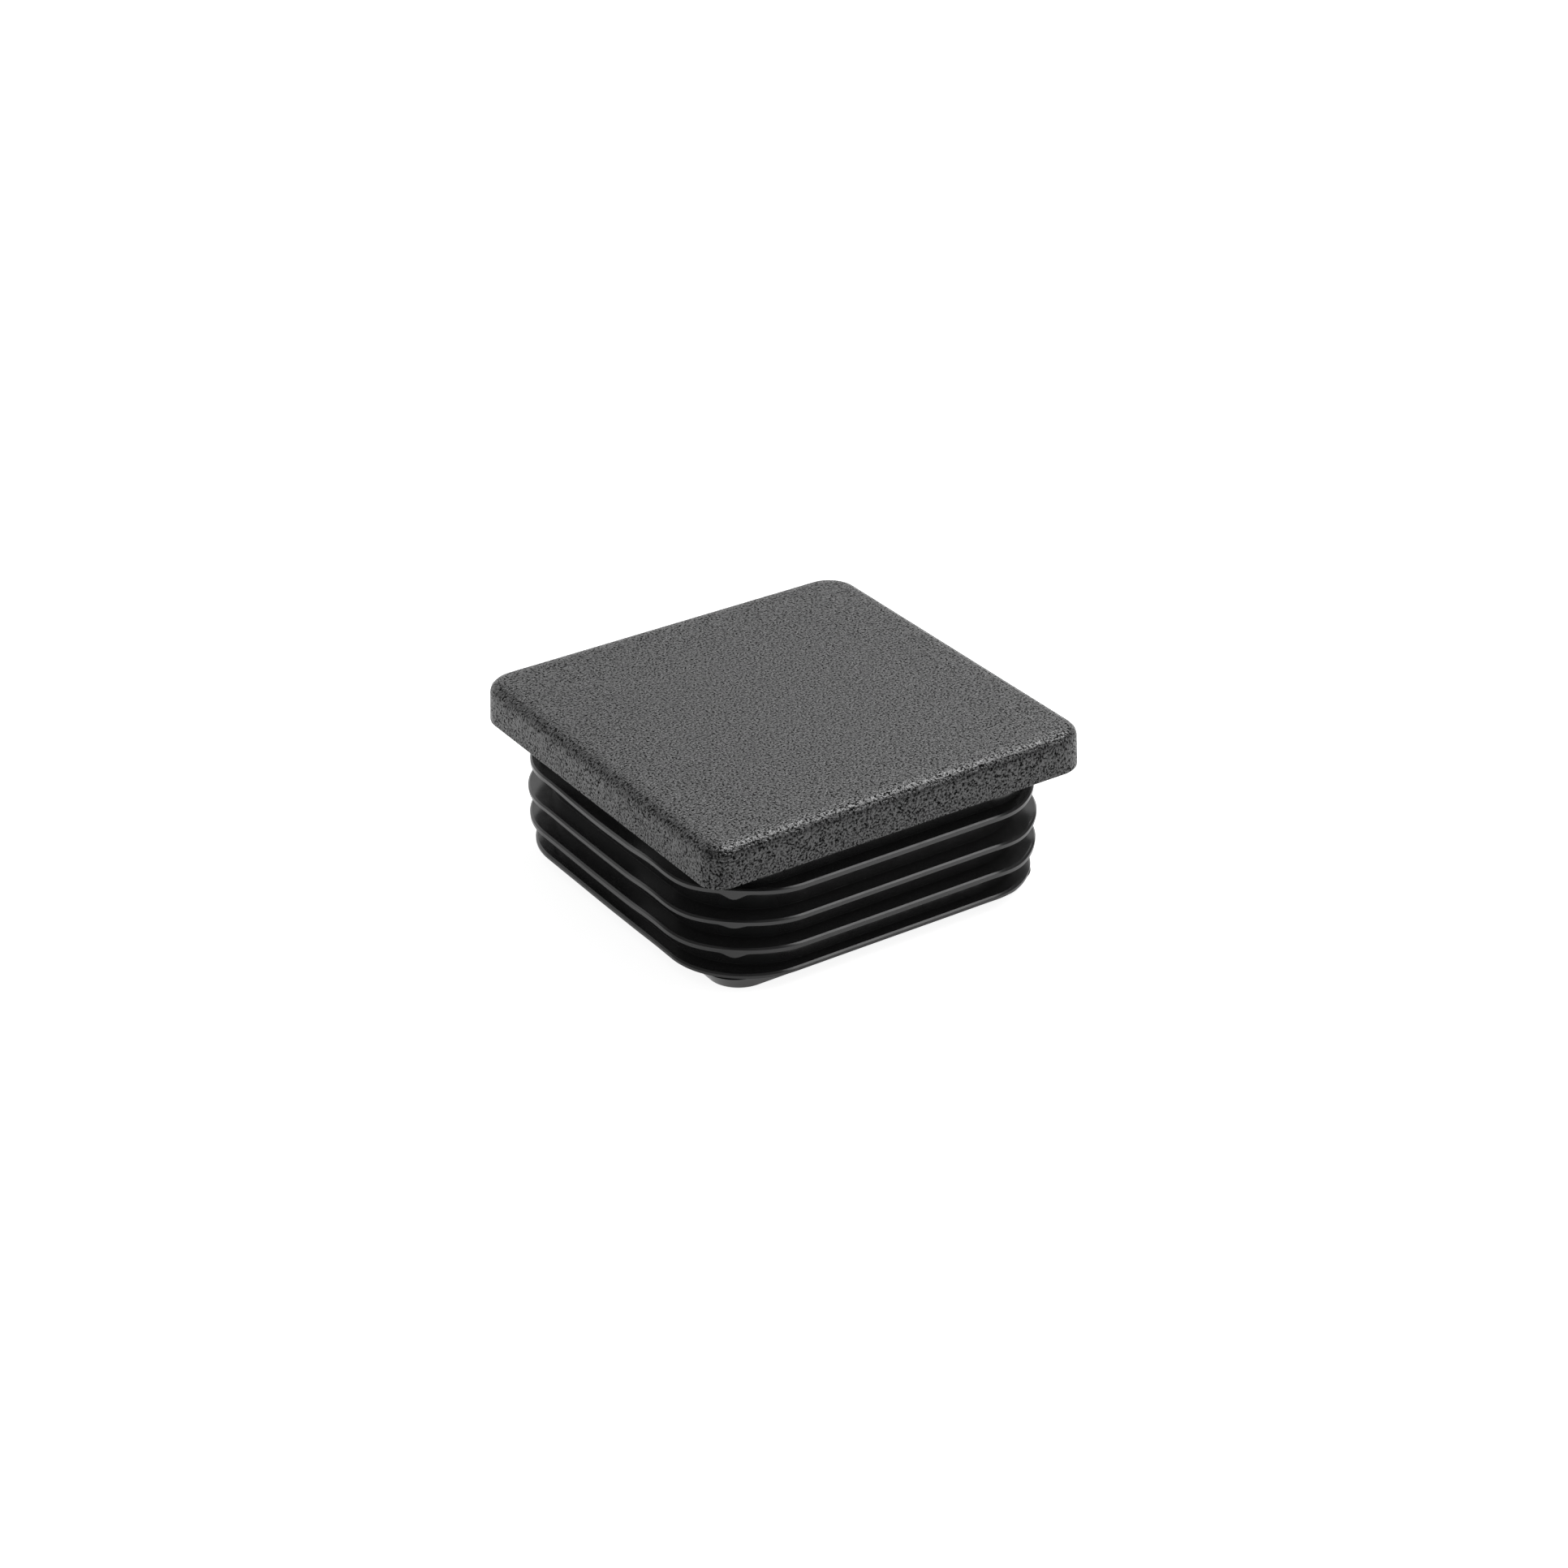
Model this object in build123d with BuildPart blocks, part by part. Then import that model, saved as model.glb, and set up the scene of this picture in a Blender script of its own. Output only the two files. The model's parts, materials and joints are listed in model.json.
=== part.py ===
"""Square ribbed end cap for a 50 mm box-section tube, moulded in one piece.

The cap stands on the open end of its stem.  Z runs up from the stem's end to
the top of the head, and the origin is the centre of the stem's end face.
All lengths are in millimetres and all angles in degrees.
"""
import os
from math import atan2, degrees

from build123d import *

# --- head: the plate that closes the tube ------------------------------------
head_side = 50.0        # matches the outside of the tube
head_height = 4.7       # side wall of the head, from the seat to the top
head_corner = 3.9       # rounding of the four upright corners
head_draft = 2.0        # the side walls lean in towards the top
crown_drop = 1.0        # the top falls by this towards its edge
crown_run = 2.2         # and starts to fall this far in from the side walls
crown_edge = 1.1        # rounding where the side walls turn into the crown
crown_blend = 2.5       # rounding where the crown runs into the flat top

# --- core: the hollow square post that carries the fins ------------------------
stem_depth = 16.1       # from the seat under the head to the stem's end
seat_width = 2.85       # ledge under the head that rests on the tube's end
core_corner = 7.5       # rounding of the core's four corners
band_relief = 0.3       # each band between two fins narrows by this on each side
seat_fillet = 0.5       # where the core grows out of the head

# --- fins: thin plates that bend against the tube's inner walls ----------------
first_fin = 3.15        # from the seat down to the first rim
fin_pitch = 3.5         # from one rim to the next
fin_reach = (1.65, 1.95, 1.9, 1.15)         # how far each rim stands off the core
fin_corner = (11.3, 11.4, 11.3, 10.0)       # rounding of each rim's corners
fin_rim = (0.72, 0.68, 0.72, 0.55)          # thickness of each fin at its rim
root_flare = 0.2        # how much a fin thickens towards the core, above and below
rim_bevel = 0.22        # bevel on the upper edge of each rim; the lower edge is crisp
root_overlap = 0.1      # how deep a fin's root runs past the relief and the nose's step

# --- nose: the lead-in below the last fin --------------------------------------
nose_step = 0.5         # set back from the core on each side
nose_corner = 5.0       # rounding of the nose's corners, squarer than the core's
nose_taper = 1.1        # narrows by this on each side down to the stem's end

# --- hollow: the open inside of the stem ---------------------------------------
wall = 2.45             # thickness of the core's wall at the mouth of the hollow
hollow_draft = 0.75     # the hollow narrows towards the head
top_thickness = 3.2     # solid left between the hollow and the top of the head
hollow_edge = 1.2       # rounding round the hollow's ceiling

# --- worked out from the sizes above -------------------------------------------
core_side = head_side - 2 * seat_width
total_height = stem_depth + head_height
crown_z = total_height - crown_drop
rim_tops = [stem_depth - first_fin - k * fin_pitch for k in range(len(fin_reach))]
rim_feet = [top - rim for top, rim in zip(rim_tops, fin_rim)]
nose_side = core_side - 2 * nose_step
spine_side = nose_side - 2 * nose_taper
mouth_side = core_side - 2 * wall
ceiling_z = total_height - top_thickness


def post(side, corner, top, foot, relief=0.0):
    """Square post from its top down to its foot, narrower there by the relief."""
    with BuildPart() as block:
        with BuildSketch(Plane.XY.offset(top)):
            RectangleRounded(side, side, corner)
        extrude(amount=foot - top, taper=degrees(atan2(relief, top - foot)))
    return block.part


def fin(reach, corner, top, foot):
    """One fin: a rim with a softened upper edge on a plate that thickens to its root."""
    rim_side = core_side + 2 * reach
    inset = reach + band_relief + nose_step + root_overlap
    with BuildPart() as plate:
        with BuildSketch(Plane.XY.offset(foot)):
            RectangleRounded(rim_side, rim_side, corner)
        extrude(amount=top - foot)
        chamfer(plate.edges().group_by(Axis.Z)[-1], length=rim_bevel)
        for flat in plate.faces().filter_by(Plane.XY):
            extrude(flat, amount=root_flare, taper=degrees(atan2(inset, root_flare)))
    return plate.part


# The head is drawn at the seat, drafted up to its crown and softened round both edges.
with BuildPart() as head:
    with BuildSketch(Plane.XY.offset(stem_depth)):
        RectangleRounded(head_side, head_side, head_corner)
    extrude(amount=head_height - crown_drop, taper=head_draft)
    crown_foot = head.faces().sort_by(Axis.Z)[-1]
    extrude(crown_foot, amount=crown_drop, taper=degrees(atan2(crown_run, crown_drop)))
    crown_edges = head.edges().filter_by_position(Axis.Z, crown_z - 0.01, crown_z + 0.01)
    fillet(crown_edges, radius=crown_edge)
    fillet(head.edges().group_by(Axis.Z)[-1], radius=crown_blend)

# The hollow is open at the stem's end and rounded round its ceiling.
with BuildPart() as hollow:
    with BuildSketch():
        RectangleRounded(mouth_side, mouth_side, core_corner - wall)
    extrude(amount=ceiling_z, taper=hollow_draft)
    fillet(hollow.edges().group_by(Axis.Z)[-1], radius=hollow_edge)

with BuildPart() as end_cap:
    add(head.part)

    # The neck is the first band of the core, blended into the seat.
    add(post(core_side, core_corner, stem_depth, rim_tops[0], band_relief))
    seat = end_cap.faces().filter_by(Plane.XY).group_by(Axis.Z)[-2].sort_by(SortBy.AREA)[-1]
    fillet(seat.inner_wires().edges(), radius=seat_fillet)

    # A slim spine runs down inside the fins and bands and ends as the nose.
    add(post(spine_side, core_corner, rim_tops[0], 0))
    add(post(nose_side, nose_corner, rim_feet[-1], 0, nose_taper))

    # Bands fill the core between the fins.
    for upper_foot, lower_top in zip(rim_feet, rim_tops[1:]):
        add(post(core_side, core_corner, upper_foot, lower_top, band_relief))

    for reach, corner, top, foot in zip(fin_reach, fin_corner, rim_tops, rim_feet):
        add(fin(reach, corner, top, foot))

    add(hollow.part, mode=Mode.SUBTRACT)

os.makedirs("parts", exist_ok=True)
end_cap.part.label = "end_cap"
export_step(end_cap.part, "parts/end_cap.step")
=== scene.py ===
"""Square ribbed tube end cap: its skin, its two finishes and a small studio.

The packed model gives the frame.  One skin stands for the whole moulding: rows
of rounded squares run from the middle of the head, over its edge, down the
finned stem and up into the hollow.  Lengths are in metres, angles in radians.
"""
import json
from math import cos, radians, sin

import bpy
import numpy as np
from bpy.props import FloatProperty, FloatVectorProperty, IntProperty, PointerProperty
from mathutils import Matrix, Vector


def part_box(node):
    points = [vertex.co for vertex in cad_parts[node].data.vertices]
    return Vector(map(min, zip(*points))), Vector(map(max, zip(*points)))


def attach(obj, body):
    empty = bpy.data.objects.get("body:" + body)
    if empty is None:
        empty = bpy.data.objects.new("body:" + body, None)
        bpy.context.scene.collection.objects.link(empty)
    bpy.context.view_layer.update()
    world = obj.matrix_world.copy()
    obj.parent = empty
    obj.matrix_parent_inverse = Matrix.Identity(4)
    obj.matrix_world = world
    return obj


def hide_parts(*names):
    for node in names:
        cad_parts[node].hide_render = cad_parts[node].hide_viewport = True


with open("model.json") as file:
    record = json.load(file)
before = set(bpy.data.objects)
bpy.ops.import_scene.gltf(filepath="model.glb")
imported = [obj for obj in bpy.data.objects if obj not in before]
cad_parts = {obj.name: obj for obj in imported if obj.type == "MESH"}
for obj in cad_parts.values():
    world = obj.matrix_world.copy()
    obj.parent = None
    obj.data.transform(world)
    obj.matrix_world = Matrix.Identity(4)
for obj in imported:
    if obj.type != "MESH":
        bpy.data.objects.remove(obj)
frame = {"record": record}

bl_info = {
    "name": "Tube end cap",
    "version": (1, 0, 0),
    "blender": (4, 5, 0),
    "location": "View3D > Sidebar > End cap",
    "description": "Builds a square ribbed tube end cap and a small studio round it",
    "category": "Add Mesh",
}

MM = 0.001
NODE = "end_cap"
LOW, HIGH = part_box(NODE)
STEM_END, HEAD_TOP, HEAD_HALF = LOW[2], HIGH[2], HIGH[0]
SEAT = next(mount["pos_m"][2] for mount in frame["record"]["mounts"] if mount["name"] == "tube_seat")

GRAINED, SMOOTH = 0, 1      # the skin's two finishes, by material index

# How the skin's rows are laid.
PROFILE = [0, 5]            # where a row keeps its half width and its height
SAME_PLACE = 0.001 * MM     # two rows closer than this are one
LEAST_TURN = 0.001          # the profile is rounded as if it turned by at least this angle
RUN_SHARE = 0.96            # how much of a straight run the roundings at its ends may take up
LONG_RUN = 0.3 * MM         # a straight run longer than this gets rows in between
LONG_RUN_ROWS = np.array([0.0, 0.06, 0.35, 0.65, 0.94])     # and where along the run they lie
MIDDLE_ROW = (0.02, 0.01)   # half width and corners of a flat face's innermost row, over its half width
HALFWAY_ROW = (0.5, 0.1)    # the same for a row between that one and the face's edge

SILL_WIDTH = 1.5 * MM       # how wide the head's lower edge is, before it rises to the seat
FLASH_WIDTH = 3.6 * MM      # width of the flash at the corner where the mould's halves meet
FLASH_PLACE = 0.8 * MM      # how far along the corner it lies from the corner's middle


# --- settings ----------------------------------------------------------------

def length(name, description, millimetres):
    """A length setting whose default is written in millimetres."""
    return FloatProperty(name=name, description=description, default=millimetres * MM,
                         unit="LENGTH", subtype="DISTANCE", precision=5)


def lengths(name, description, millimetres):
    """Several lengths in one setting, whose defaults are written in millimetres."""
    return FloatVectorProperty(name=name, description=description, size=len(millimetres),
                               default=[value * MM for value in millimetres], unit="LENGTH", precision=5)


def angle(name, description, degrees):
    """An angle setting whose default is written in degrees."""
    return FloatProperty(name=name, description=description, default=radians(degrees),
                         unit="ROTATION", subtype="ANGLE")


def angles(name, description, degrees):
    """Several angles in one setting, whose defaults are written in degrees."""
    return FloatVectorProperty(name=name, description=description, size=len(degrees),
                               default=[radians(value) for value in degrees], unit="ROTATION")


def point(name, description, metres):
    """A place in the studio, in metres."""
    return FloatVectorProperty(name=name, description=description, size=3, default=metres,
                               unit="LENGTH", subtype="TRANSLATION")


def colour(name, description, shade):
    """A colour setting."""
    return FloatVectorProperty(name=name, description=description, size=3, default=shade, subtype="COLOR")


def level(name, description, default):
    """A setting from 0 to 1."""
    return FloatProperty(name=name, description=description, default=default,
                         subtype="FACTOR", min=0, max=1)


class HeadSettings(bpy.types.PropertyGroup):
    """Plate that closes the tube."""

    corner: lengths("Corners", "Rounding of the head's upright corners, anticlockwise from x, y > 0",
                    (3.9, 3.8, 2.5, 3.7))
    lean: length("Lean", "How far the side walls lean in from the seat to the top", 0.16)
    edge_run: length("Edge run", "How far in from the side walls the top starts to round off", 1.75)
    edge_drop: length("Edge drop", "How far down the side walls the rounding reaches", 1.2)
    rim: length("Lower edge", "Small rounding where the side meets the seat", 0.12)
    sill: length("Sill", "How far the head's lower edge hangs below its seat", 0.06)
    sink: length("Sink", "How far the middle of the top has sunk in cooling", 0.06)


class StemSettings(bpy.types.PropertyGroup):
    """Core and the fins round it, listed from the head down; depths run down from the seat."""

    neck_half: length("Neck", "Half the width of the core under the head", 22.15)
    band_half: length("Band", "Half the width of the core between two fins", 22.0)
    band_corner: length("Band corner", "Rounding of the core's corners between two fins", 10.0)
    relief: length("Relief", "How much a band narrows downwards, on each side", 0.25)
    core_corner: length("Core corner", "Rounding of the core's corners", 7.5)
    seat_fillet: length("Seat fillet", "Hollow rounding where the core leaves the head", 0.25)
    fin_half: lengths("Fin half widths", "Half the width of each fin's rim",
                      (23.79, 24.09, 24.02, 23.29))
    fin_corner: lengths("Fin corners", "Rounding of each fin's corners", (11.3, 11.4, 11.3, 10.0))
    fin_depth: lengths("Fin depths", "Depth of each fin's rim below the seat",
                       (3.28, 6.8, 10.29, 13.77))
    fin_rim: lengths("Rim thickness", "Height of each fin's rim", (0.67, 0.63, 0.67, 0.55))
    bevel_run: length("Bevel run", "How far in the bevel on each rim's upper edge reaches", 0.22)
    bevel_drop: length("Bevel drop", "How far down the bevel on each rim's upper edge reaches", 0.2)
    rim_crisp: length("Rim edges", "Rounding of each rim's other edges", 0.05)
    root_rise: length("Root rise", "How much a fin thickens towards the core, above and below", 0.06)
    nose_half: length("Nose", "Half the width of the core just below the last fin", 21.65)
    nose_taper: length("Nose taper", "How much the nose narrows to the stem's end, on each side", 1.1)
    nose_corner: length("Nose corner", "Rounding of the nose's corners", 4.2)
    nose_shift: length("Nose shift", "How far the stem's end leans towards the side y < 0", 0.3)
    nose_edge: length("Nose edge", "Rounding round the stem's end", 0.3)
    bend_bearing: angles("Bend bearings", "Where round the cap the fins are bent up or down",
                         (154, 179, -155, -133, -53))
    bend_spread: angles("Bend spreads", "Half the width of each bend, as an angle", (14, 16, 13, 15, 10))
    bends_first: lengths("Bends 1", "How far each bend lifts the first fin's rim",
                         (0.24, -0.12, 0.38, 0.36, -0.2))
    bends_second: lengths("Bends 2", "How far each bend lifts the second fin's rim",
                          (0.13, -0.04, 0.32, 0.2, -0.32))
    bends_third: lengths("Bends 3", "How far each bend lifts the third fin's rim",
                         (0.03, -0.04, 0.25, 0.12, -0.35))
    bends_last: lengths("Bends 4", "How far each bend lifts the last fin's rim",
                        (0.0, -0.03, 0.08, 0.03, -0.1))
    wander: length("Wander", "How far the fins wander up and down all round", 0.05)
    flash: lengths("Flash", "How far the flash hangs from each rim at one corner",
                   (0.68, 0.35, 0.52, 0.0))
    flash_depth: length("Flash thickness", "How far the flash reaches in from the rim", 0.7)


class HollowSettings(bpy.types.PropertyGroup):
    """Open inside of the stem."""

    mouth_half: length("Mouth", "Half the width of the hollow at the stem's end", 19.7)
    ceiling_half: length("Ceiling", "Half the width of the hollow under the head", 19.47)
    corner: length("Corner", "Rounding of the hollow's corners", 5.05)
    roof: length("Roof", "Thickness left between the hollow and the top of the head", 3.2)
    edge: length("Ceiling edge", "Rounding round the hollow's ceiling", 1.2)
    lip: length("Lip", "Rounding of the hollow's mouth", 0.15)


class MeshSettings(bpy.types.PropertyGroup):
    """How finely the skin is divided."""

    side_steps: IntProperty(name="Side steps", description="Faces along each straight side", default=28)
    corner_steps: IntProperty(name="Corner steps", description="Faces round each corner", default=48)
    edge_steps: IntProperty(name="Edge steps", description="Faces across each rounded edge", default=4)


class FinishSettings(bpy.types.PropertyGroup):
    """Colours and texture of the plastic."""

    head_colour: colour("Head", "Colour of the grained plastic", (0.032, 0.032, 0.0326))
    stem_colour: colour("Stem", "Colour of the smooth plastic", (0.022, 0.022, 0.0224))
    grain_size: length("Grain size", "Width of one grain of the spark-eroded texture", 0.25)
    grain_depth: length("Grain depth", "Depth of the spark-eroded texture", 0.1)
    flow_size: length("Flow size", "Width of one flow mark on the smooth plastic", 1.6)
    flow_depth: length("Flow depth", "Depth of the flow marks on the smooth plastic", 0.01)
    head_rough: level("Head roughness", "Roughness of the grained plastic", 0.27)
    stem_rough: level("Stem roughness", "Roughness of the smooth plastic", 0.2)
    stem_shine: level("Stem shine", "Specular level of the smooth plastic", 0.65)


class StudioSettings(bpy.types.PropertyGroup):
    """Camera, lamps and floor."""

    azimuth: angle("Azimuth", "Camera's turn about the upright axis", -33.243)
    elevation: angle("Elevation", "Camera's height above the level", 28.723)
    roll: angle("Roll", "Camera's tilt about its own line of sight", -0.694)
    distance: length("Distance", "From the middle of the seat back to the camera", 404.18)
    shift_right: length("Shift right", "Camera's move to its right", 0.486)
    shift_up: length("Shift up", "Camera's move upwards", -5.11)
    lens: FloatProperty(name="Lens", description="Focal length on a 36 mm wide sensor, in millimetres",
                        default=82.03)
    key_place: point("Key place", "Middle of the large soft box", (0.27, 0.075, 0.51))
    key_side: length("Key side", "Width of the large soft box", 380)
    key_power: FloatProperty(name="Key", description="Power of the large soft box",
                             default=2.6, unit="POWER")
    fill_place: point("Fill place", "Middle of the small soft box", (0.275, -0.257, 0.445))
    fill_side: length("Fill side", "Width of the small soft box", 200)
    fill_power: FloatProperty(name="Fill", description="Power of the small soft box",
                              default=0.35, unit="POWER")
    ambient: FloatProperty(name="Ambient", description="Strength of the walls' own light", default=0.3)
    floor_half: length("Floor", "Half the width of the floor", 3000)
    floor_colour: colour("Floor colour", "Colour of the floor", (0.65, 0.65, 0.65))
    floor_rough: level("Floor roughness", "Roughness of the floor", 0.9)
    floor_glow: level("Floor glow", "What the floor adds where the camera sees it, to look white", 0.88)
    floor_gleam: level("Floor gleam", "What the floor adds where the cap's gloss shows it", 0.5)
    backdrop: FloatVectorProperty(name="Backdrop", description="Towards the white backdrop in the gloss",
                                  size=3, default=(0.1, 0.8, -0.6), subtype="DIRECTION")


SETTINGS = {
    "cap_head": HeadSettings,
    "cap_stem": StemSettings,
    "cap_hollow": HollowSettings,
    "cap_mesh": MeshSettings,
    "cap_finish": FinishSettings,
    "cap_studio": StudioSettings,
}


# --- surfaces ----------------------------------------------------------------

def rounded_rows(nodes, radii, steps):
    """Rows of the skin from a polyline of (half width, four corner radii, height, finish).

    At each inner node the polyline turns by an angle phi in the half-width and
    height plane.  The turn is rounded from a point before the node to a point
    after it, each at a tangent length radius * tan(phi / 2), cut short where
    two roundings would meet.  At the angle theta along the rounding, a row is
    node + a * (start - node) + b * (end - node), with
    b = (1 - cos theta) / (1 - cos phi) and a the same at phi - theta.  Each
    inner node has one radius, which gives an arc, or two, one before it and one
    after it, which give part of an ellipse.
    """
    nodes = np.asarray(nodes, float)
    radii = np.array([np.broadcast_to(radius, 2) for radius in radii])
    runs = np.diff(nodes, axis=0)
    reach = np.linalg.norm(runs[:, PROFILE], axis=1)
    heading = runs / reach[:, None]
    cosine = (heading[:-1, PROFILE] * heading[1:, PROFILE]).sum(1)
    phi = np.maximum(np.arccos(np.clip(cosine, -1, 1)), LEAST_TURN)[:, None]
    tangents = radii * np.tan(phi / 2)
    used = np.append(tangents[:, 0], 0) + np.insert(tangents[:, 1], 0, 0)
    room = np.minimum(1, RUN_SHARE * reach / np.maximum(used, SAME_PLACE))
    start = -heading[:-1] * (tangents[:, 0] * room[:-1])[:, None]
    end = heading[1:] * (tangents[:, 1] * room[1:])[:, None]
    theta = phi * np.linspace(0, 1, steps + 1)
    start_share = ((1 - np.cos(phi - theta)) / (1 - np.cos(phi)))[..., None]
    end_share = ((1 - np.cos(theta)) / (1 - np.cos(phi)))[..., None]
    arcs = nodes[1:-1, None] + start_share * start[:, None] + end_share * end[:, None]
    return np.vstack([nodes[:1], arcs.reshape(-1, nodes.shape[1]), nodes[-1:]])


def gaps_between(rows):
    """Distance from each row to the next in the half-width and height plane."""
    return np.linalg.norm(np.diff(rows[:, PROFILE], axis=0), axis=1)


def with_support(rows):
    """Drops repeated rows and adds some to every long straight run, at fixed shares of its length."""
    rows = rows[np.append(True, gaps_between(rows) > SAME_PLACE)]
    runs = []
    for row, step, gap in zip(rows, np.diff(rows, axis=0), gaps_between(rows)):
        shares = LONG_RUN_ROWS if gap > LONG_RUN else LONG_RUN_ROWS[:1]
        runs.append(row + shares[:, None] * step)
    return np.vstack(runs + [rows[-1:]])


def node(half, corners, height, finish):
    """One node of the polyline; the corner radii are one number or four."""
    return (half, *np.broadcast_to(corners, 4), height, finish)


def inner_node(row, half, height, finish):
    """A node inside a flat face, whose half width and corner radii are shares of the face's half width."""
    half_share, corner_share = row
    return node(half_share * half, corner_share * half, height, finish)


def square_loops(half, corners, side_steps, corner_steps):
    """Points of one rounded square for each half width and row of four corner radii.

    The first quarter runs up the side x = half, from the last corner's radius
    above -half to the first corner's radius below +half, and then round that
    corner's centre through ninety degrees; the other three are made the same
    way and turned by one, two and three right angles.
    """
    along = np.linspace(0, 1, side_steps, endpoint=False)
    bearing = np.linspace(0, np.pi / 2, corner_steps, endpoint=False)
    quarters = []
    for turns in range(4):
        last, this = half - corners[:, turns - 1], half - corners[:, turns]
        x = np.hstack([np.repeat(half[:, None], side_steps, axis=1),
                       this[:, None] + corners[:, turns, None] * np.cos(bearing)])
        y = np.hstack([-last[:, None] + (last + this)[:, None] * along,
                       this[:, None] + corners[:, turns, None] * np.sin(bearing)])
        quarters.append([(x, y), (-y, x), (-x, -y), (y, -x)][turns])
    return [np.hstack(coordinate) for coordinate in zip(*quarters)]


def skin_mesh(name, x, y, z, finish):
    """Closed mesh from a grid of rows and columns, with a fan to a middle point at each end."""
    rows, columns = x.shape
    top_middle = [0.0, 0.0, z[0].mean()]
    ceiling_middle = [0.0, 0.0, z[-1].mean()]
    points = np.vstack([np.column_stack([x.ravel(), y.ravel(), z.ravel()]), top_middle, ceiling_middle])
    index = np.arange(rows * columns).reshape(rows, columns)
    ahead = np.roll(index, -1, axis=1)
    walls = np.stack([index[:-1], index[1:], ahead[1:], ahead[:-1]], axis=-1).reshape(-1, 4)
    middle = np.full(columns, rows * columns)
    top_fan = np.column_stack([middle, index[0], ahead[0]])
    ceiling_fan = np.column_stack([index[-1], middle + 1, ahead[-1]])
    mesh = bpy.data.meshes.new(name)
    mesh.from_pydata(points.tolist(), [], walls.tolist() + top_fan.tolist() + ceiling_fan.tolist())
    face_finish = np.repeat(np.concatenate([finish[:-1], finish[:1], finish[-1:]]), columns)
    mesh.polygons.foreach_set("material_index", face_finish.astype(np.int32))
    mesh.polygons.foreach_set("use_smooth", np.ones(len(mesh.polygons), bool))
    mesh.update()
    mesh.validate()
    return mesh


def head_profile(head):
    """Nodes and roundings from the middle of the top, over the edge, down to the seat."""
    corner = np.array(head.corner)
    upper_half = HEAD_HALF - head.lean
    inset = 1.1 * head.edge_run         # a little past where the edge starts to round off
    least_corner = 0.2 * MM
    foot = SEAT - head.sill
    nodes = [
        inner_node(MIDDLE_ROW, HEAD_HALF, HEAD_TOP, GRAINED),
        inner_node(HALFWAY_ROW, HEAD_HALF, HEAD_TOP, GRAINED),
        node(upper_half - inset, np.maximum(corner - inset, least_corner), HEAD_TOP, GRAINED),
        node(upper_half, corner, HEAD_TOP, GRAINED),
        node(HEAD_HALF, corner, foot, GRAINED),
        node(HEAD_HALF - SILL_WIDTH, corner - SILL_WIDTH, foot, GRAINED),
    ]
    radii = [0.0, 0.0, (head.edge_run, head.edge_drop), head.rim, 0.0]
    return nodes, radii


def stem_profile(stem):
    """Nodes and roundings of the neck, the fins with the bands between them, and the nose."""
    root = stem.root_rise
    crisp, sharp = stem.rim_crisp, 0.01 * MM
    nodes = [node(stem.neck_half, stem.core_corner, SEAT, SMOOTH)]
    radii = [stem.seat_fillet]
    upper_half, upper_corner = stem.neck_half, stem.core_corner
    for half, corner, depth, rim in zip(stem.fin_half, stem.fin_corner, stem.fin_depth, stem.fin_rim):
        top = SEAT - depth
        foot = top - rim
        nodes += [
            node(upper_half - stem.relief, upper_corner, top + root, SMOOTH),
            node(half - stem.bevel_run, corner - stem.bevel_run, top, SMOOTH),
            node(half, corner, top - stem.bevel_drop, SMOOTH),
            node(half, corner, foot, SMOOTH),
            node(half - stem.flash_depth, corner - stem.flash_depth, foot, SMOOTH),
            node(stem.band_half, stem.band_corner, foot - root, SMOOTH),
        ]
        radii += [sharp, crisp, crisp, crisp, crisp, sharp]
        upper_half, upper_corner = stem.band_half, stem.band_corner
    # Below the last fin the nose takes the place of a band.
    nodes[-1] = node(stem.nose_half, stem.nose_corner, foot - root, SMOOTH)
    end_corner = stem.nose_corner - stem.nose_taper / 2
    nodes.append(node(stem.nose_half - stem.nose_taper, end_corner, STEM_END, SMOOTH))
    radii.append(stem.nose_edge)
    return nodes, radii


def hollow_profile(hollow):
    """Nodes and roundings from the stem's end up to the middle of the hollow's ceiling."""
    ceiling = HEAD_TOP - hollow.roof
    flat_half = hollow.ceiling_half - 3 * hollow.edge       # well inside the rounded edge
    flat_corner = 0.3 * MM
    nodes = [
        node(hollow.mouth_half, hollow.corner, STEM_END, SMOOTH),
        node(hollow.ceiling_half, hollow.corner, ceiling, SMOOTH),
        node(flat_half, flat_corner, ceiling, SMOOTH),
        inner_node(MIDDLE_ROW, hollow.ceiling_half, ceiling, SMOOTH),
    ]
    radii = [hollow.lip, hollow.edge, 0.0]
    return nodes, radii


def wave(bearing, low_turns, seed):
    """Slow smooth wave round the cap: the mean of four sines of the bearing, with seeded phases.

    The sines have low_turns waves round the cap and one, two and three more.
    """
    phases = np.random.default_rng(seed).uniform(0, 2 * np.pi, 4)
    sines = [np.sin((low_turns + more) * bearing + phase) for more, phase in enumerate(phases)]
    return sum(sines) / len(sines)


def bump(distance, spread):
    """Hump from 1 at no distance to 0 at the spread: the squared cosine of that share of a quarter turn."""
    return np.cos(np.pi / 2 * np.clip(distance / spread, -1, 1)) ** 2


def with_sunk_top(z, x, y, head):
    """Lowers the head's middle by the sink times the cosines of x and y, a quarter turn at its sides.

    The eighth power of the height over the seat keeps the lowering to the top.
    """
    dish = np.cos(np.pi / 2 * x / HEAD_HALF) * np.cos(np.pi / 2 * y / HEAD_HALF)
    above = np.clip((z - SEAT) / (HEAD_TOP - SEAT), 0, 1) ** 8
    return z - head.sink * dish * above


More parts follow.
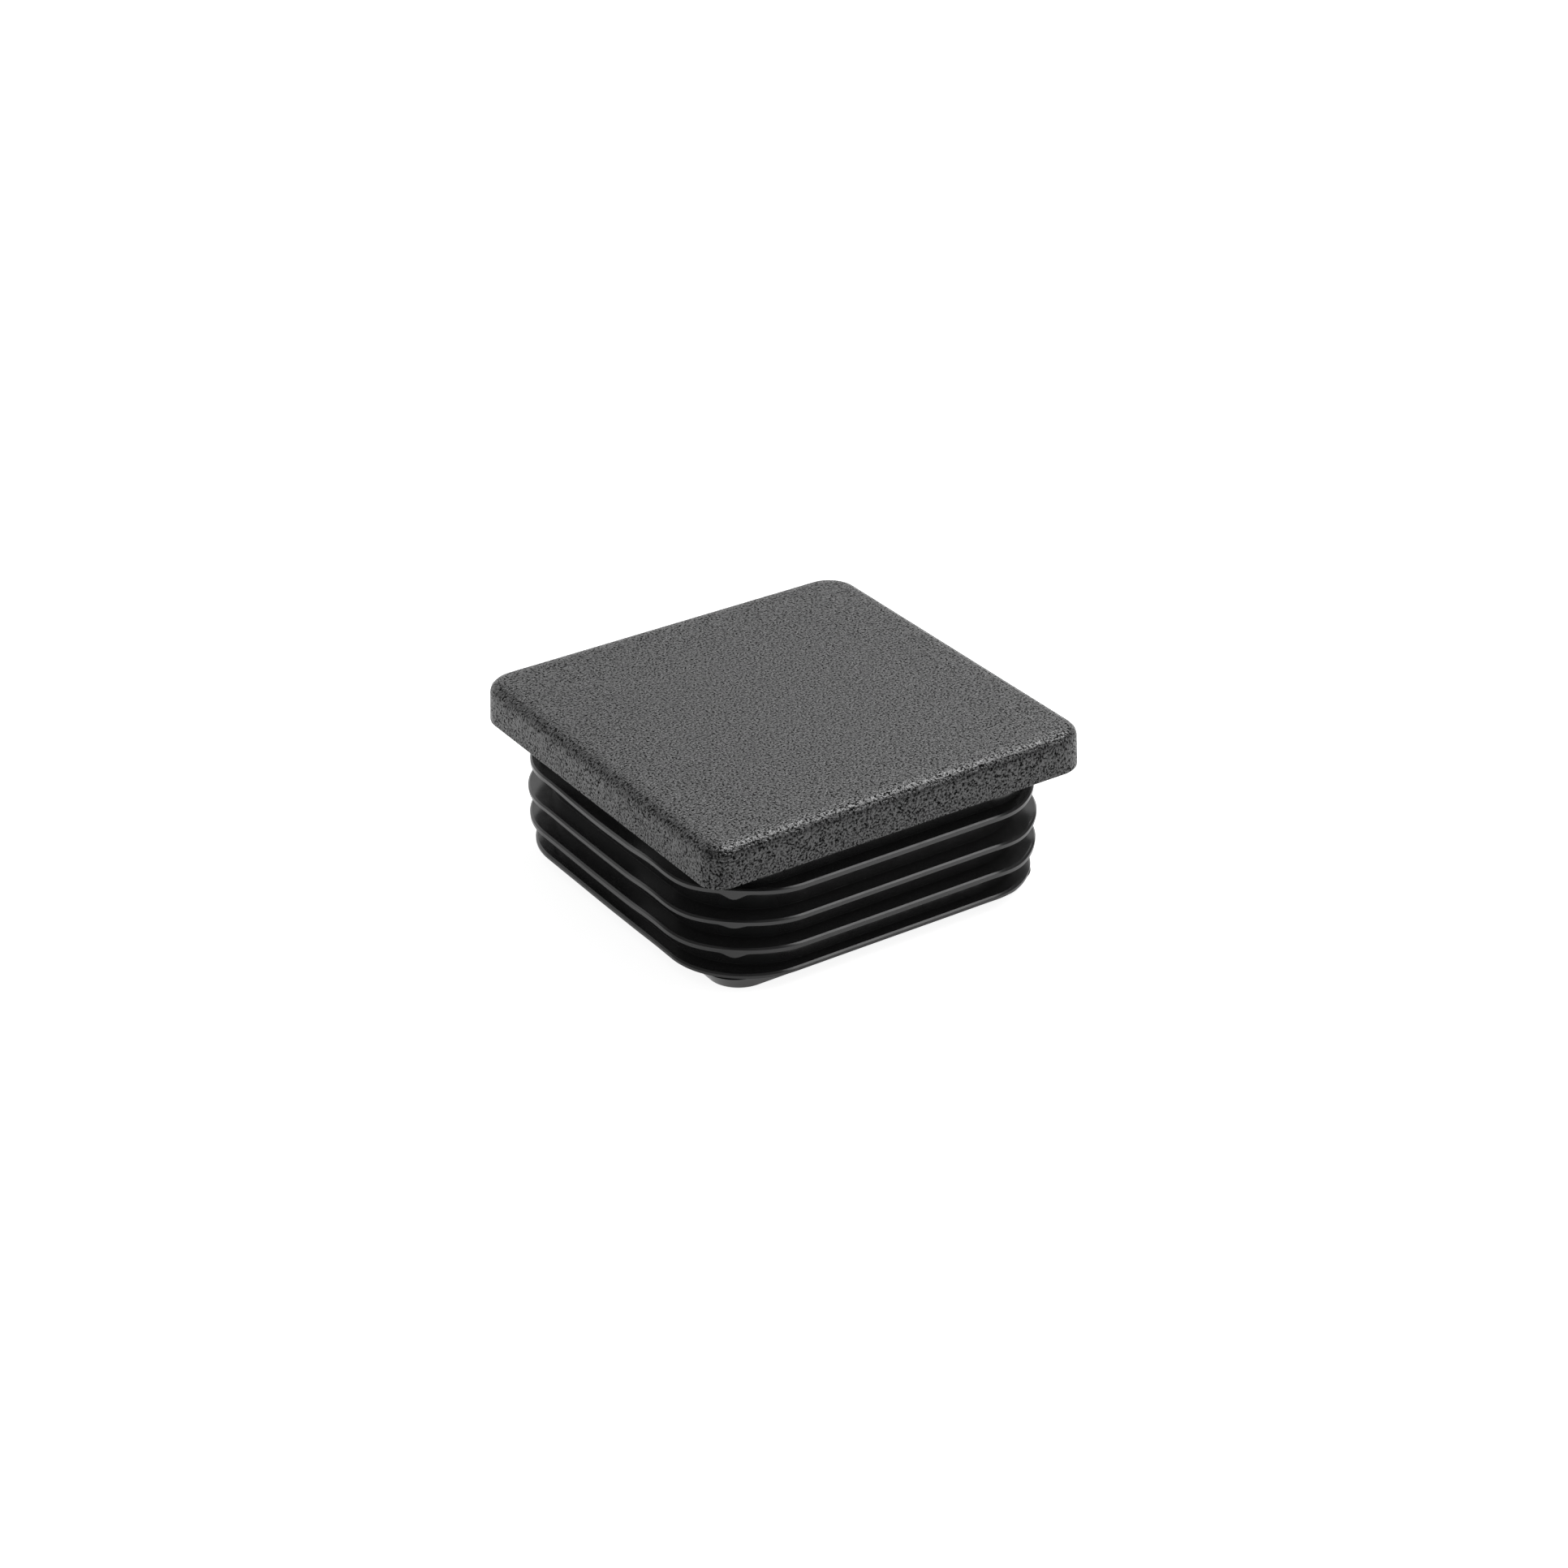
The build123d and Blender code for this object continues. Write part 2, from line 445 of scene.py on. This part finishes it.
def with_bent_fins(z, x, y, half, height, stem):
    """Bends each fin out of its plane, by an offset that grows evenly from the core to the rim.

    The offset is a sum of humps about the bearings of the bends, plus a slow wave.
    """
    bearing = np.arctan2(y, x)
    every_bend = (stem.bends_first, stem.bends_second, stem.bends_third, stem.bends_last)
    for k, lifts in enumerate(every_bend):
        offset = stem.wander * wave(bearing, low_turns=2, seed=k)
        for middle, spread, lift in zip(stem.bend_bearing, stem.bend_spread, lifts):
            away = (bearing - middle + np.pi) % (2 * np.pi) - np.pi
            offset = offset + lift * bump(away, spread)
        middle_height = SEAT - stem.fin_depth[k] - stem.fin_rim[k] / 2
        reach = stem.fin_rim[k] / 2 + 1.1 * stem.root_rise      # a little past the fin's root
        within = np.abs(height - middle_height) < reach
        share = np.clip((half - stem.neck_half) / (stem.fin_half[k] - stem.neck_half), 0, 1)
        z = z + offset * (share * within)[:, None]
    return z


def with_flash(z, x, y, half, height, stem):
    """Lowers each rim's foot at one corner, where flash hangs FLASH_WIDTH wide and thins inwards.

    It hangs fully over the outer half of its thickness and evenly less further in.
    """
    along = (x - y) / np.sqrt(2) - FLASH_PLACE
    hang = np.where((x < 0) & (y < 0), bump(along, 0.5 * FLASH_WIDTH), 0)
    for k, depth in enumerate(stem.fin_depth):
        foot = SEAT - depth - stem.fin_rim[k]
        inner_half = stem.fin_half[k] - stem.flash_depth
        share = np.clip((half - inner_half) / (0.5 * stem.flash_depth), 0, 1)
        at_foot = np.abs(height - foot) < 1.5 * stem.rim_crisp
        z = z - stem.flash[k] * hang * np.where(at_foot, share, 0)[:, None]
    return z


def with_leaning_nose(y, z, stem):
    """Moves the nose towards y < 0, evenly more from the last fin down to the stem's end."""
    nose_top = SEAT - stem.fin_depth[-1] - stem.fin_rim[-1]
    return y - stem.nose_shift * np.clip((nose_top - z) / (nose_top - STEM_END), 0, 1)


# --- operators ---------------------------------------------------------------

class CAP_OT_add_cap(bpy.types.Operator):
    """Build the moulded end cap and its finishes"""

    bl_idname = "mesh.tube_end_cap_add"
    bl_label = "End cap"

    def execute(self, context):
        scene = context.scene
        head, stem, hollow, grid = scene.cap_head, scene.cap_stem, scene.cap_hollow, scene.cap_mesh
        nodes, radii = [], []
        for more_nodes, more_radii in (head_profile(head), stem_profile(stem), hollow_profile(hollow)):
            nodes += more_nodes
            radii += more_radii
        rows = with_support(rounded_rows(nodes, radii, grid.edge_steps))
        half, corners, height, finish = rows[:, 0], rows[:, 1:5], rows[:, 5], rows[:, 6]
        x, y = square_loops(half, corners, grid.side_steps, grid.corner_steps)
        z = np.broadcast_to(height[:, None], x.shape)
        z = with_sunk_top(z, x, y, head)
        z = with_bent_fins(z, x, y, half, height, stem)
        z = with_flash(z, x, y, half, height, stem)
        y = with_leaning_nose(y, z, stem)
        mesh = skin_mesh("moulded_skin", x, y, z, np.round(finish))
        mesh.materials.append(grained_plastic(scene.cap_finish))
        mesh.materials.append(smooth_plastic(scene.cap_finish))
        piece = bpy.data.objects.new("moulded_skin", mesh)
        scene.collection.objects.link(piece)
        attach(piece, "root")
        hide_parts(NODE)
        return {"FINISHED"}


class CAP_OT_add_studio(bpy.types.Operator):
    """Build the floor, the lamps, the white walls and the camera"""

    bl_idname = "scene.tube_end_cap_studio_add"
    bl_label = "Studio"

    def execute(self, context):
        scene = context.scene
        studio = scene.cap_studio
        floor_under_cap(scene, studio)
        white_walls(scene, studio)
        soft_box(scene, "key_lamp", studio.key_place, studio.key_side, studio.key_power)
        soft_box(scene, "fill_lamp", studio.fill_place, studio.fill_side, studio.fill_power)
        aim_camera(scene, studio)
        scene.view_settings.view_transform = "Standard"
        return {"FINISHED"}


class CAP_PT_panel(bpy.types.Panel):
    """Lists the end cap's operators and settings"""

    bl_label = "Tube end cap"
    bl_idname = "CAP_PT_panel"
    bl_space_type = "VIEW_3D"
    bl_region_type = "UI"
    bl_category = "End cap"

    def draw(self, context):
        layout = self.layout
        for operator in (CAP_OT_add_cap, CAP_OT_add_studio):
            layout.operator(operator.bl_idname)
        for name in SETTINGS:
            settings = getattr(context.scene, name)
            box = layout.box()
            box.label(text=type(settings).__doc__)
            for key in type(settings).__annotations__:
                box.prop(settings, key)


# --- materials ---------------------------------------------------------------

NOISE_SPAN = (0.3, 0.7)     # nearly all of a noise lies between these
GRAIN_LIGHT_AND_SHADE_SPAN = (0.39, 0.6)    # the grain is darkest and dullest below the first and brightest above the second: painted shade in its pits, painted light on its tops
GRAIN_LIGHT_AND_SHADE_TINTS = (0.2, 1.85)   # the head's colour times these, where the grain is darkest and brightest: painted shade in its pits, painted light on its tops
FLOW_TINTS = (0.8, 1.2)     # the stem's colour times these, from one flow mark to the next
MOTTLE_GRAINS = 9           # width of the head's uneven patches, in grains
HEAD_UNEVEN = 0.06          # how far the roughness goes up and down over the head
STEM_UNEVEN = 0.04          # and over the stem


def new_material(name):
    """New node material, its tree and its shader."""
    material = bpy.data.materials.new(name)
    material.use_nodes = True
    tree = material.node_tree
    return material, tree, tree.nodes["Principled BSDF"]


def noise(tree, size, detail, rough):
    """Noise on Object coordinates, whose lumps are about the given width."""
    node = tree.nodes.new("ShaderNodeTexNoise")
    node.inputs["Scale"].default_value = 1 / size
    node.inputs["Detail"].default_value = detail
    node.inputs["Roughness"].default_value = rough
    tree.links.new(tree.nodes.new("ShaderNodeTexCoord").outputs["Object"], node.inputs["Vector"])
    return node.outputs["Fac"]


def ramp(tree, value, span, results):
    """Maps a value from one range to another, held at both ends."""
    node = tree.nodes.new("ShaderNodeMapRange")
    for key, number in zip(("From Min", "From Max", "To Min", "To Max"), (*span, *results)):
        node.inputs[key].default_value = number
    tree.links.new(value, node.inputs["Value"])
    return node.outputs["Result"]


def uneven(tree, value, middle, swing):
    """A number that a noise moves up and down from its middle, by up to the swing."""
    return ramp(tree, value, NOISE_SPAN, (middle - swing, middle + swing))


def blended(tree, share, first, second):
    """The first value where the share is 0 and the second where it is 1; each is a number or a socket."""
    node = tree.nodes.new("ShaderNodeMix")
    for key, value in (("Factor", share), ("A", first), ("B", second)):
        if isinstance(value, float):
            node.inputs[key].default_value = value
        else:
            tree.links.new(value, node.inputs[key])
    return node.outputs["Result"]


def by_ray(tree, light, gloss, camera):
    """One value where it lights the scene, one where gloss shows it and one where the camera sees it."""
    path = tree.nodes.new("ShaderNodeLightPath")
    unseen = blended(tree, path.outputs["Is Glossy Ray"], light, gloss)
    return blended(tree, path.outputs["Is Camera Ray"], unseen, camera)


def tinted(tree, value, shade, tints):
    """A colour times the first tint where the value is 0 and the second where it is 1."""
    node = tree.nodes.new("ShaderNodeMix")
    node.data_type = "RGBA"
    for key, tint in zip(("A", "B"), tints):
        node.inputs[key].default_value = (*[channel * tint for channel in shade], 1)
    tree.links.new(value, node.inputs["Factor"])
    return node.outputs["Result"]


def bumped(tree, height, distance, strength):
    """The normal of a surface with this height on it."""
    node = tree.nodes.new("ShaderNodeBump")
    node.inputs["Distance"].default_value = distance
    node.inputs["Strength"].default_value = strength
    tree.links.new(height, node.inputs["Height"])
    return node.outputs["Normal"]


def feed(tree, shader, sources):
    """Links each named socket of the shader to its source."""
    for name, source in sources.items():
        tree.links.new(source, shader.inputs[name])


def grained_plastic(finish):
    """Black plastic with the fine pitted grain of a spark-eroded mould; its pits are painted darker and
    duller as shade, and its tops lighter as painted light.
    """
    material, tree, shader = new_material("grained_black_plastic")
    grain = noise(tree, finish.grain_size, detail=2.0, rough=0.6)
    mottle = noise(tree, MOTTLE_GRAINS * finish.grain_size, detail=4.0, rough=0.6)
    # Painted shade and light: the grain's low spots, its pits, are painted dark and dull, and its high
    # spots are painted bright.
    grain_light_and_shade = ramp(tree, grain, GRAIN_LIGHT_AND_SHADE_SPAN, (0.0, 1.0))
    feed(tree, shader, {
        "Specular IOR Level": grain_light_and_shade,
        "Base Color": tinted(tree, grain_light_and_shade, finish.head_colour, GRAIN_LIGHT_AND_SHADE_TINTS),
        "Roughness": uneven(tree, mottle, finish.head_rough, HEAD_UNEVEN),
        "Normal": bumped(tree, grain, finish.grain_depth, strength=1.0),
    })
    return material


def smooth_plastic(finish):
    """The same plastic from a polished mould: dark, glossy, with faint flow marks."""
    material, tree, shader = new_material("smooth_black_plastic")
    flow = noise(tree, finish.flow_size, detail=3.0, rough=0.5)
    shader.inputs["Specular IOR Level"].default_value = finish.stem_shine
    feed(tree, shader, {
        "Base Color": tinted(tree, flow, finish.stem_colour, FLOW_TINTS),
        "Roughness": uneven(tree, flow, finish.stem_rough, STEM_UNEVEN),
        "Normal": bumped(tree, flow, finish.flow_depth, strength=0.5),
    })
    return material


# --- studio ------------------------------------------------------------------

WALL_SPAN = (0.16, 0.38)    # the backdrop fades in between these cosines of the angle to its middle
WALL_GLEAMS = (0.2, 1.0)    # how bright the gloss shows the walls, away from the backdrop and on it


def floor_under_cap(scene, studio):
    """Pale floor that looks white to the camera and pale in gloss, and keeps the cap's shadow."""
    half = studio.floor_half
    corners = [(x * half, y * half, STEM_END) for x, y in ((-1, -1), (1, -1), (1, 1), (-1, 1))]
    mesh = bpy.data.meshes.new("floor")
    mesh.from_pydata(corners, [], [(0, 1, 2, 3)])
    material, tree, shader = new_material("pale_floor")
    shader.inputs["Base Color"].default_value = (*studio.floor_colour, 1)
    shader.inputs["Roughness"].default_value = studio.floor_rough
    shader.inputs["Specular IOR Level"].default_value = 0.0
    shader.inputs["Emission Color"].default_value = (1, 1, 1, 1)
    feed(tree, shader, {"Emission Strength": by_ray(tree, 0.0, studio.floor_gleam, studio.floor_glow)})
    mesh.materials.append(material)
    floor = bpy.data.objects.new("floor", mesh)
    scene.collection.objects.link(floor)


def white_walls(scene, studio):
    """World that is white to the camera, and in gloss white behind the cap and dim elsewhere."""
    world = bpy.data.worlds.new("white_walls")
    scene.world = world
    world.use_nodes = True
    tree = world.node_tree
    background = tree.nodes["Background"]
    background.inputs["Color"].default_value = (1, 1, 1, 1)
    facing = tree.nodes.new("ShaderNodeVectorMath")
    facing.operation = "DOT_PRODUCT"
    facing.inputs[1].default_value = studio.backdrop
    tree.links.new(tree.nodes.new("ShaderNodeTexCoord").outputs["Generated"], facing.inputs[0])
    gleam = ramp(tree, facing.outputs["Value"], WALL_SPAN, WALL_GLEAMS)
    feed(tree, background, {"Strength": by_ray(tree, studio.ambient, gleam, 1.0)})


def soft_box(scene, name, middle, side, power):
    """Square lamp that points at the middle of the seat."""
    lamp = bpy.data.lights.new(name, "AREA")
    lamp.shape = "SQUARE"
    lamp.size = side
    lamp.energy = power
    holder = bpy.data.objects.new(name, lamp)
    holder.location = middle
    holder.rotation_euler = (Vector((0, 0, SEAT)) - Vector(middle)).to_track_quat("-Z", "Y").to_euler()
    scene.collection.objects.link(holder)


def aim_camera(scene, studio):
    """Camera on a sphere round the seat's middle, moved a little in its own plane."""
    azimuth, elevation, roll = studio.azimuth, studio.elevation, studio.roll
    back = Vector((sin(azimuth) * cos(elevation), -cos(azimuth) * cos(elevation), sin(elevation)))
    sideways = Vector((cos(azimuth), sin(azimuth), 0))
    right = cos(roll) * sideways + sin(roll) * back.cross(sideways)
    up = back.cross(right)
    camera = bpy.data.cameras.new("camera")
    camera.lens = studio.lens
    camera.sensor_width = 36
    camera.clip_start = 0.01
    holder = bpy.data.objects.new("camera", camera)
    turn = Matrix((right, up, back)).transposed()
    shift = studio.shift_right * right + studio.shift_up * up
    place = Vector((0, 0, SEAT)) + shift + studio.distance * back
    holder.matrix_world = Matrix.Translation(place) @ turn.to_4x4()
    scene.collection.objects.link(holder)
    scene.camera = holder


# --- add-on ------------------------------------------------------------------

CLASSES = (*SETTINGS.values(), CAP_OT_add_cap, CAP_OT_add_studio, CAP_PT_panel)


def register():
    """Registers the classes and gives every scene its settings."""
    for cls in CLASSES:
        bpy.utils.register_class(cls)
    for name, cls in SETTINGS.items():
        setattr(bpy.types.Scene, name, PointerProperty(type=cls))


def unregister():
    """Takes back what register did."""
    for name in SETTINGS:
        delattr(bpy.types.Scene, name)
    for cls in reversed(CLASSES):
        bpy.utils.unregister_class(cls)


def main():
    """Builds everything."""
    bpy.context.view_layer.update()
    register()
    bpy.ops.mesh.tube_end_cap_add()
    bpy.ops.scene.tube_end_cap_studio_add()


if __name__ == "__main__":
    main()
